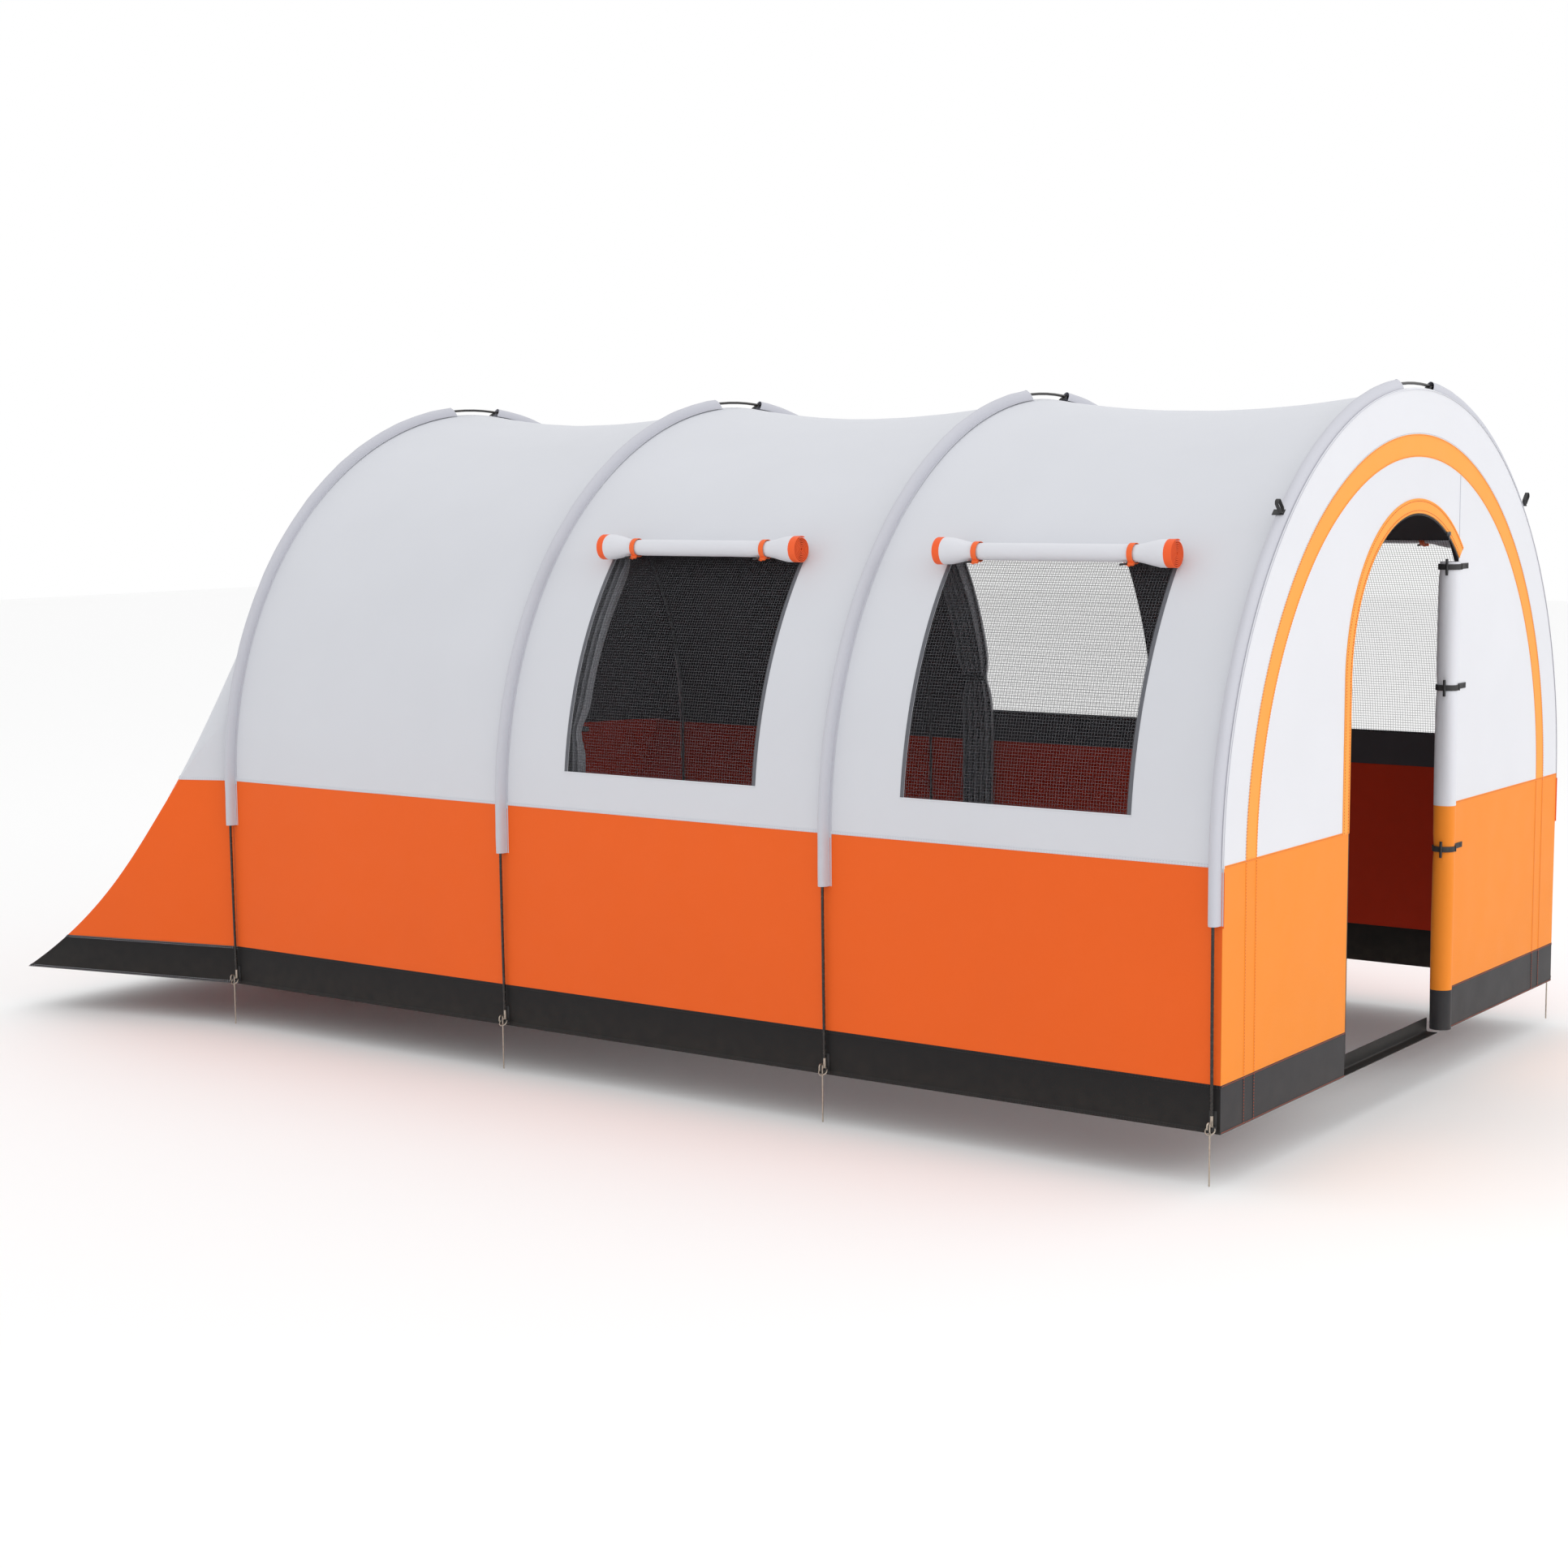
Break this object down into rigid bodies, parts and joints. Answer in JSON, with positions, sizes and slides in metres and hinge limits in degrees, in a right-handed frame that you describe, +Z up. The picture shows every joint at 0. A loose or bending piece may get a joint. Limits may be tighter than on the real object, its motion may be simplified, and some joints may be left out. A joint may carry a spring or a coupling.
{
  "type": "tunnel tent",
  "caption": "Hooped tunnel tent with sloping tail, coloured wall bands, arched doorway with rolled door, and screened side windows with rolled covers.",
  "frame": {"origin": "on the ground in the middle of the doorway, at the first hoop", "axes": "+X out of the door along the tent, +Y to the right as one faces the door from outside, +Z up"},
  "size_m": [4.601, 2.88, 2.1112],
  "materials": {
    "upper_cloth": "coated polyester taffeta, light grey",
    "front_cloth": "coated polyester taffeta, light grey, front wall",
    "side_cloth": "coated polyester taffeta, orange",
    "trim_cloth": "coated polyester tape, orange",
    "skirt_cloth": "coated woven polyethylene, charcoal",
    "sleeve_cloth": "coated polyester taffeta, lilac grey",
    "curtain_cloth": "breathable polyester, grey",
    "piping_tape": "bound polyester tape, slate grey",
    "screen_mesh": "knitted insect netting, black",
    "webbing": "woven polypropylene webbing, black",
    "zip_tape": "coil zip, black",
    "pole_rod": "pultruded fibreglass, near black",
    "steel": "zinc-plated steel",
    "slider_metal": "enamelled zinc alloy"
  },
  "bodies": {
    "tent": {"roof_bay_1": "upper_cloth", "roof_bay_2": "upper_cloth", "roof_bay_3": "upper_cloth", "side_band_left": "side_cloth", "side_band_right": "side_cloth", "ground_skirt_left": "skirt_cloth", "ground_skirt_right": "skirt_cloth", "tail_upper": "upper_cloth", "tail_lower": "side_cloth", "tail_skirt": "skirt_cloth", "front_edge_strip": "front_cloth", "front_arch_band": "trim_cloth", "front_upper_wall": "front_cloth", "front_wall_left": "side_cloth", "front_wall_right": "side_cloth", "front_skirt_left": "skirt_cloth", "front_skirt_right": "skirt_cloth", "door_piping": "trim_cloth", "door_threshold": "skirt_cloth", "door_zip_chain": "zip_tape", "door_tie_anchors": "webbing", "hoop_pole_1": "pole_rod", "hoop_pole_2": "pole_rod", "hoop_pole_3": "pole_rod", "hoop_pole_4": "pole_rod", "pole_sleeve_1": "sleeve_cloth", "pole_sleeve_2": "sleeve_cloth", "pole_sleeve_3": "sleeve_cloth", "pole_sleeve_4": "sleeve_cloth", "sleeve_patches": "trim_cloth", "sleeve_end_tabs": "webbing", "guy_loops": "webbing", "pole_tips": "steel", "foot_rings": "steel", "foot_straps": "webbing", "window_mesh_left_1": "screen_mesh", "window_mesh_left_2": "screen_mesh", "window_mesh_right_1": "screen_mesh", "window_mesh_right_2": "screen_mesh", "window_piping": "piping_tape", "partition_curtains": "curtain_cloth"},
    "cover_left_1": {"window_cover_left_1": "upper_cloth", "cover_ties_left_1": "side_cloth"},
    "cover_left_2": {"window_cover_left_2": "upper_cloth", "cover_ties_left_2": "side_cloth"},
    "cover_right_1": {"window_cover_right_1": "upper_cloth", "cover_ties_right_1": "side_cloth"},
    "cover_right_2": {"window_cover_right_2": "upper_cloth", "cover_ties_right_2": "side_cloth"},
    "door": {"door_roll": "front_cloth", "door_ties": "webbing"},
    "zip": {"zip_slider": "slider_metal"},
    "peg_left_1_body": {"peg_left_1": "steel"},
    "peg_left_2_body": {"peg_left_2": "steel"},
    "peg_left_3_body": {"peg_left_3": "steel"},
    "peg_left_4_body": {"peg_left_4": "steel"},
    "peg_right_1_body": {"peg_right_1": "steel"},
    "peg_right_2_body": {"peg_right_2": "steel"},
    "peg_right_3_body": {"peg_right_3": "steel"},
    "peg_right_4_body": {"peg_right_4": "steel"}
  },
  "joints": [
    {"name": "cover_lift_left_1", "type": "hinge", "parent": "tent", "child": "cover_left_1", "pos_m": [-0.6125, -0.95279, 1.51376], "axis": [-1, 0, 0], "range_deg": [0, 90]},
    {"name": "cover_lift_left_2", "type": "hinge", "parent": "tent", "child": "cover_left_2", "pos_m": [-1.8375, -0.95279, 1.51376], "axis": [-1, 0, 0], "range_deg": [0, 90]},
    {"name": "cover_lift_right_1", "type": "hinge", "parent": "tent", "child": "cover_right_1", "pos_m": [-0.6125, 0.95279, 1.51376], "axis": [1, 0, 0], "range_deg": [0, 90]},
    {"name": "cover_lift_right_2", "type": "hinge", "parent": "tent", "child": "cover_right_2", "pos_m": [-1.8375, 0.95279, 1.51376], "axis": [1, 0, 0], "range_deg": [0, 90]},
    {"name": "door_swing", "type": "hinge", "parent": "tent", "child": "door", "pos_m": [0.02, 0.33, 0.75], "axis": [0, 0, 1], "range_deg": [-60, 90]},
    {"name": "zip_travel", "type": "hinge", "parent": "tent", "child": "zip", "pos_m": [0.019, 0, 1.13], "axis": [1, 0, 0], "range_deg": [0, 118]},
    {"name": "peg_pull_left_1", "type": "slide", "parent": "tent", "child": "peg_left_1_body", "axis": [0, 0, 1], "range_m": [0, 0.15]},
    {"name": "peg_pull_left_2", "type": "slide", "parent": "tent", "child": "peg_left_2_body", "axis": [0, 0, 1], "range_m": [0, 0.15]},
    {"name": "peg_pull_left_3", "type": "slide", "parent": "tent", "child": "peg_left_3_body", "axis": [0, 0, 1], "range_m": [0, 0.15]},
    {"name": "peg_pull_left_4", "type": "slide", "parent": "tent", "child": "peg_left_4_body", "axis": [0, 0, 1], "range_m": [0, 0.15]},
    {"name": "peg_pull_right_1", "type": "slide", "parent": "tent", "child": "peg_right_1_body", "axis": [0, 0, 1], "range_m": [0, 0.15]},
    {"name": "peg_pull_right_2", "type": "slide", "parent": "tent", "child": "peg_right_2_body", "axis": [0, 0, 1], "range_m": [0, 0.15]},
    {"name": "peg_pull_right_3", "type": "slide", "parent": "tent", "child": "peg_right_3_body", "axis": [0, 0, 1], "range_m": [0, 0.15]},
    {"name": "peg_pull_right_4", "type": "slide", "parent": "tent", "child": "peg_right_4_body", "axis": [0, 0, 1], "range_m": [0, 0.15]}
  ]
}
